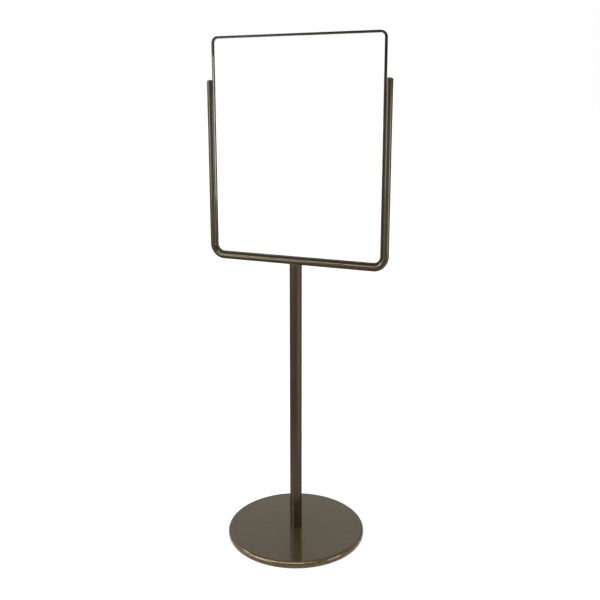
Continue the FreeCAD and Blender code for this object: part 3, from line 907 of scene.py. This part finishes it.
def studio_world():
    """Soft surround for reflections and light; the camera itself sees it as plain white."""
    world = bpy.data.worlds.new("studio")
    bpy.context.scene.world = world
    world.use_nodes = True
    tree = world.node_tree
    direction = tree.nodes.new("ShaderNodeTexCoord").outputs["Generated"]

    def node(kind, settings, inputs, output=0):
        made = tree.nodes.new(kind)
        for key, value in settings.items():
            setattr(made, key, value)
        for key, value in inputs.items():
            if isinstance(value, bpy.types.NodeSocket):
                tree.links.new(value, made.inputs[key])
            else:
                made.inputs[key].default_value = value
        return made.outputs[output]

    def along(axis):
        return node("ShaderNodeVectorMath", {"operation": "DOT_PRODUCT"}, {0: direction, 1: axis}, "Value")

    def sums(operation, first, second):
        return node("ShaderNodeMath", {"operation": operation}, {0: first, 1: second})

    def fade(value, start, end, low, high):
        return node("ShaderNodeMapRange", {"interpolation_type": "SMOOTHSTEP"},
                    {"Value": value, "From Min": start, "From Max": end, "To Min": low, "To Max": high})

    def scaled(colour, amount):
        return node("ShaderNodeVectorMath", {"operation": "SCALE"}, {0: colour, "Scale": amount})

    right, away, up = along(RIGHT), along(AWAY), along((0, 0, 1))
    backdrop = fade(up, *BACKDROP_EDGE, *BACKDROP_LEVELS)
    near_walls = fade(right, -1, 1, *NEAR_WALLS)
    ceiling = fade(up, *CEILING_EDGE, 0, 1)
    walls = node("ShaderNodeMix", {"data_type": "FLOAT"},
                 {"Factor": fade(away, *WALLS_MEET, 0, 1), "A": backdrop, "B": near_walls})
    room = node("ShaderNodeMix", {"data_type": "FLOAT"}, {"Factor": ceiling, "A": walls, "B": CEILING_LEVEL})
    around = sums("ARCTAN2", up, sums("MULTIPLY", away, -1))
    offset = sums("ABSOLUTE", sums("SUBTRACT", around, STRIP_ELEVATION), 0)
    strip = sums("MULTIPLY", fade(offset, STRIP_HALF_WIDTH, 2 * STRIP_HALF_WIDTH, STRIP_LEVEL, 0),
                 fade(right, *STRIP_RIGHT_END, 1, 0))
    total = node("ShaderNodeVectorMath", {"operation": "ADD"},
                 {0: scaled(ROOM_COLOUR, room), 1: scaled(STRIP_COLOUR, strip)})
    seen = node("ShaderNodeLightPath", {}, {}, "Is Camera Ray")
    shown = node("ShaderNodeMix", {"data_type": "RGBA"}, {"Factor": seen, 6: total, 7: WHITE}, 2)
    tree.links.new(shown, tree.nodes["Background"].inputs["Color"])


def soft_box(name, azimuth, height, distance, size, power, colour):
    """Area light at an azimuth from the camera's side, in degrees to its right, aimed at the stand."""
    angle = CAMERA_YAW + math.radians(azimuth)
    place = Vector((math.sin(angle) * distance, -math.cos(angle) * distance, height))
    data = bpy.data.lights.new(name, "AREA")
    data.shape = "RECTANGLE"
    data.size, data.size_y = size
    data.energy = power
    data.color = colour
    light = bpy.data.objects.new(name, data)
    light.location = place
    light.rotation_euler = (Vector((0, 0, AIM_HEIGHT)) - place).to_track_quat("-Z", "Y").to_euler()
    light.visible_camera = False
    bpy.context.scene.collection.objects.link(light)


def camera():
    data = bpy.data.cameras.new("camera")
    data.lens = CAMERA_LENS
    data.sensor_width = CAMERA_SENSOR
    data.shift_y = CAMERA_SHIFT
    eye = bpy.data.objects.new("camera", data)
    eye.location = (math.sin(CAMERA_BEARING) * CAMERA_DISTANCE, -math.cos(CAMERA_BEARING) * CAMERA_DISTANCE,
                    CAMERA_HEIGHT)
    eye.rotation_euler = (math.pi / 2 - CAMERA_PITCH, 0, CAMERA_YAW)
    bpy.context.scene.collection.objects.link(eye)
    bpy.context.scene.camera = eye


def build():
    tube, insert, base = tube_bronze(), insert_bronze(), base_bronze()
    zinc, steel, iron = zinc_steel(), plain_steel(), cast_iron()
    black_rubber, plastic = rubber(), cap_plastic()
    base_shell(base)
    ballast_disc(iron)
    ribbed_pad(black_rubber)
    post_foot_bush(steel)
    post_column(tube)
    threaded_rod(zinc)
    hexagon_nut(zinc)
    spring_washer(zinc)
    wide_washer(zinc)
    post_head(tube)
    saddle_weld("saddle_weld_front", -1, tube)
    saddle_weld("saddle_weld_back", 1, tube)
    cradle_rail(tube)
    arm_end_cap("end_cap_left", -1, "arm_cap_left", plastic)
    arm_end_cap("end_cap_right", 1, "arm_cap_right", plastic)
    insert_frame(insert)
    joint_plate(steel)
    joint_screw("joint_screw_left", -SCREW_X, zinc, "splice_screws")
    joint_screw("joint_screw_right", SCREW_X, zinc)
    studio_floor()
    studio_world()
    for name, values in SOFT_BOXES.items():
        soft_box(name, *values)
    camera()


build()
bpy.context.scene.view_settings.view_transform = "Standard"
